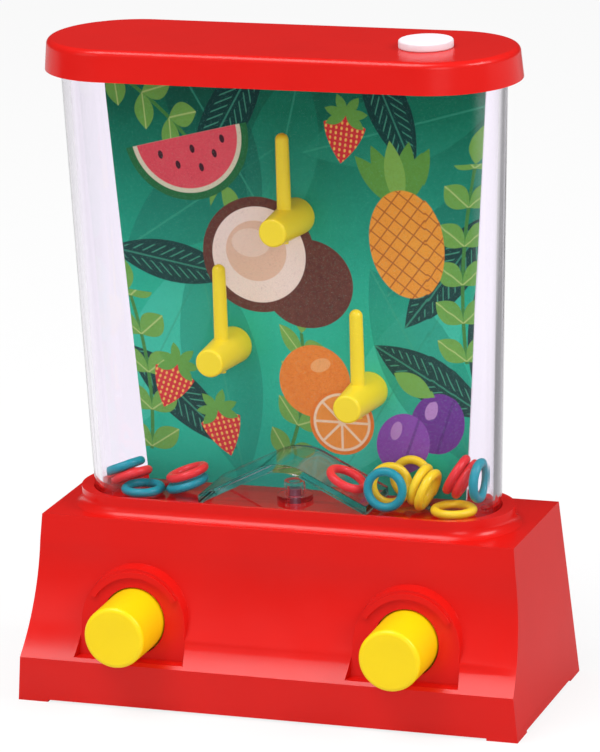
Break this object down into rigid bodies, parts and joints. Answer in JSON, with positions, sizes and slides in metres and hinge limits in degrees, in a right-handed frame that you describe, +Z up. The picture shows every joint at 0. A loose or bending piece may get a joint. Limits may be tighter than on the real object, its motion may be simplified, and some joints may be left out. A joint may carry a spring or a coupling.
{
  "type": "water ring-toss game",
  "caption": "Hand-held water ring-toss game: red base with two pump buttons, clear tapered tank with pegs, printed back panel, loose rings, red cap and fill plug.",
  "frame": {"origin": "middle of the whole part's footprint, on the surface it stands on", "axes": "+Z up, -Y towards the player and the buttons, +X to the player's right"},
  "size_m": [0.115, 0.0554, 0.1465],
  "materials": {
    "red_plastic": "glossy moulded polystyrene",
    "clear_plastic": "clear moulded polystyrene",
    "printed_panel": "white sheet with a printed face",
    "peg_yellow": "moulded plastic, slightly glossy",
    "button_yellow": "glossy moulded plastic",
    "white_rubber": "soft white stopper, satin",
    "bellows_rubber": "soft black rubber",
    "pipe_plastic": "moulded plastic, satin",
    "steel": "zinc-plated screws",
    "ring_teal": "moulded plastic, slightly glossy",
    "ring_red": "moulded plastic, slightly glossy",
    "ring_yellow": "moulded plastic, slightly glossy"
  },
  "bodies": {
    "case": {"base_shell": "red_plastic", "bottom_cover": "red_plastic", "base_screws": "steel", "tank": "clear_plastic", "tank_screw": "steel", "deflector": "clear_plastic", "back_panel": "printed_panel", "peg_top": "peg_yellow", "peg_left": "peg_yellow", "peg_right": "peg_yellow", "top_cap": "red_plastic", "left_bellows": "bellows_rubber", "right_bellows": "bellows_rubber", "left_elbow": "pipe_plastic", "right_elbow": "pipe_plastic"},
    "left_button": {"left_button": "button_yellow"},
    "right_button": {"right_button": "button_yellow"},
    "fill_plug": {"fill_plug": "white_rubber"},
    "ring_teal_1": {"ring_teal_1": "ring_teal"},
    "ring_teal_2": {"ring_teal_2": "ring_teal"},
    "ring_teal_3": {"ring_teal_3": "ring_teal"},
    "ring_teal_4": {"ring_teal_4": "ring_teal"},
    "ring_teal_5": {"ring_teal_5": "ring_teal"},
    "ring_red_1": {"ring_red_1": "ring_red"},
    "ring_red_2": {"ring_red_2": "ring_red"},
    "ring_red_3": {"ring_red_3": "ring_red"},
    "ring_red_4": {"ring_red_4": "ring_red"},
    "ring_red_5": {"ring_red_5": "ring_red"},
    "ring_yellow_1": {"ring_yellow_1": "ring_yellow"},
    "ring_yellow_2": {"ring_yellow_2": "ring_yellow"},
    "ring_yellow_3": {"ring_yellow_3": "ring_yellow"},
    "ring_yellow_4": {"ring_yellow_4": "ring_yellow"},
    "ring_yellow_5": {"ring_yellow_5": "ring_yellow"}
  },
  "joints": [
    {"name": "left_button_press", "type": "slide", "parent": "case", "child": "left_button", "axis": [0, 1, 0], "range_m": [0, 0.008], "stiffness_N_per_m": 400, "springref_m": -0.002, "deforming": ["left_bellows"]},
    {"name": "right_button_press", "type": "slide", "parent": "case", "child": "right_button", "axis": [0, 1, 0], "range_m": [0, 0.008], "stiffness_N_per_m": 400, "springref_m": -0.002, "deforming": ["right_bellows"]},
    {"name": "fill_plug_pull", "type": "slide", "parent": "case", "child": "fill_plug", "axis": [0, 0, 1], "range_m": [0, 0.012]},
    {"name": "ring_teal_2_float", "type": "slide", "parent": "case", "child": "ring_teal_2", "axis": [0, 0, 1], "range_m": [0, 0.025]},
    {"name": "ring_red_1_float", "type": "slide", "parent": "ring_teal_2", "child": "ring_red_1", "axis": [0, 0, 1], "range_m": [0, 0.025]},
    {"name": "ring_teal_1_float", "type": "slide", "parent": "ring_red_1", "child": "ring_teal_1", "axis": [0, 0, 1], "range_m": [0, 0.025]},
    {"name": "ring_teal_3_float", "type": "slide", "parent": "case", "child": "ring_teal_3", "axis": [0, 0, 1], "range_m": [0, 0.03]},
    {"name": "ring_red_2_float", "type": "slide", "parent": "ring_teal_3", "child": "ring_red_2", "axis": [0, 0, 1], "range_m": [0, 0.03]},
    {"name": "ring_red_3_float", "type": "slide", "parent": "case", "child": "ring_red_3", "axis": [0, 0, 1], "range_m": [0, 0.009]},
    {"name": "ring_teal_4_float", "type": "slide", "parent": "case", "child": "ring_teal_4", "axis": [0, 0, 1], "range_m": [0, 0.009]},
    {"name": "ring_yellow_1_float", "type": "slide", "parent": "case", "child": "ring_yellow_1", "axis": [0, 0, 1], "range_m": [0, 0.009]},
    {"name": "ring_yellow_2_float", "type": "slide", "parent": "case", "child": "ring_yellow_2", "axis": [0, 0, 1], "range_m": [0, 0.06]},
    {"name": "ring_yellow_5_float", "type": "slide", "parent": "case", "child": "ring_yellow_5", "axis": [0, 0, 1], "range_m": [0, 0.015]},
    {"name": "ring_red_5_float", "type": "slide", "parent": "ring_yellow_5", "child": "ring_red_5", "axis": [0, 0, 1], "range_m": [0, 0.015]},
    {"name": "ring_red_4_float", "type": "slide", "parent": "ring_red_5", "child": "ring_red_4", "axis": [0, 0, 1], "range_m": [0, 0.015]},
    {"name": "ring_teal_5_float", "type": "slide", "parent": "ring_yellow_5", "child": "ring_teal_5", "axis": [0, 0, 1], "range_m": [0, 0.015]},
    {"name": "ring_yellow_4_float", "type": "slide", "parent": "ring_yellow_5", "child": "ring_yellow_4", "axis": [0, 0, 1], "range_m": [0, 0.015]},
    {"name": "ring_yellow_3_float", "type": "slide", "parent": "ring_yellow_4", "child": "ring_yellow_3", "axis": [0, 0, 1], "range_m": [0, 0.015]}
  ]
}
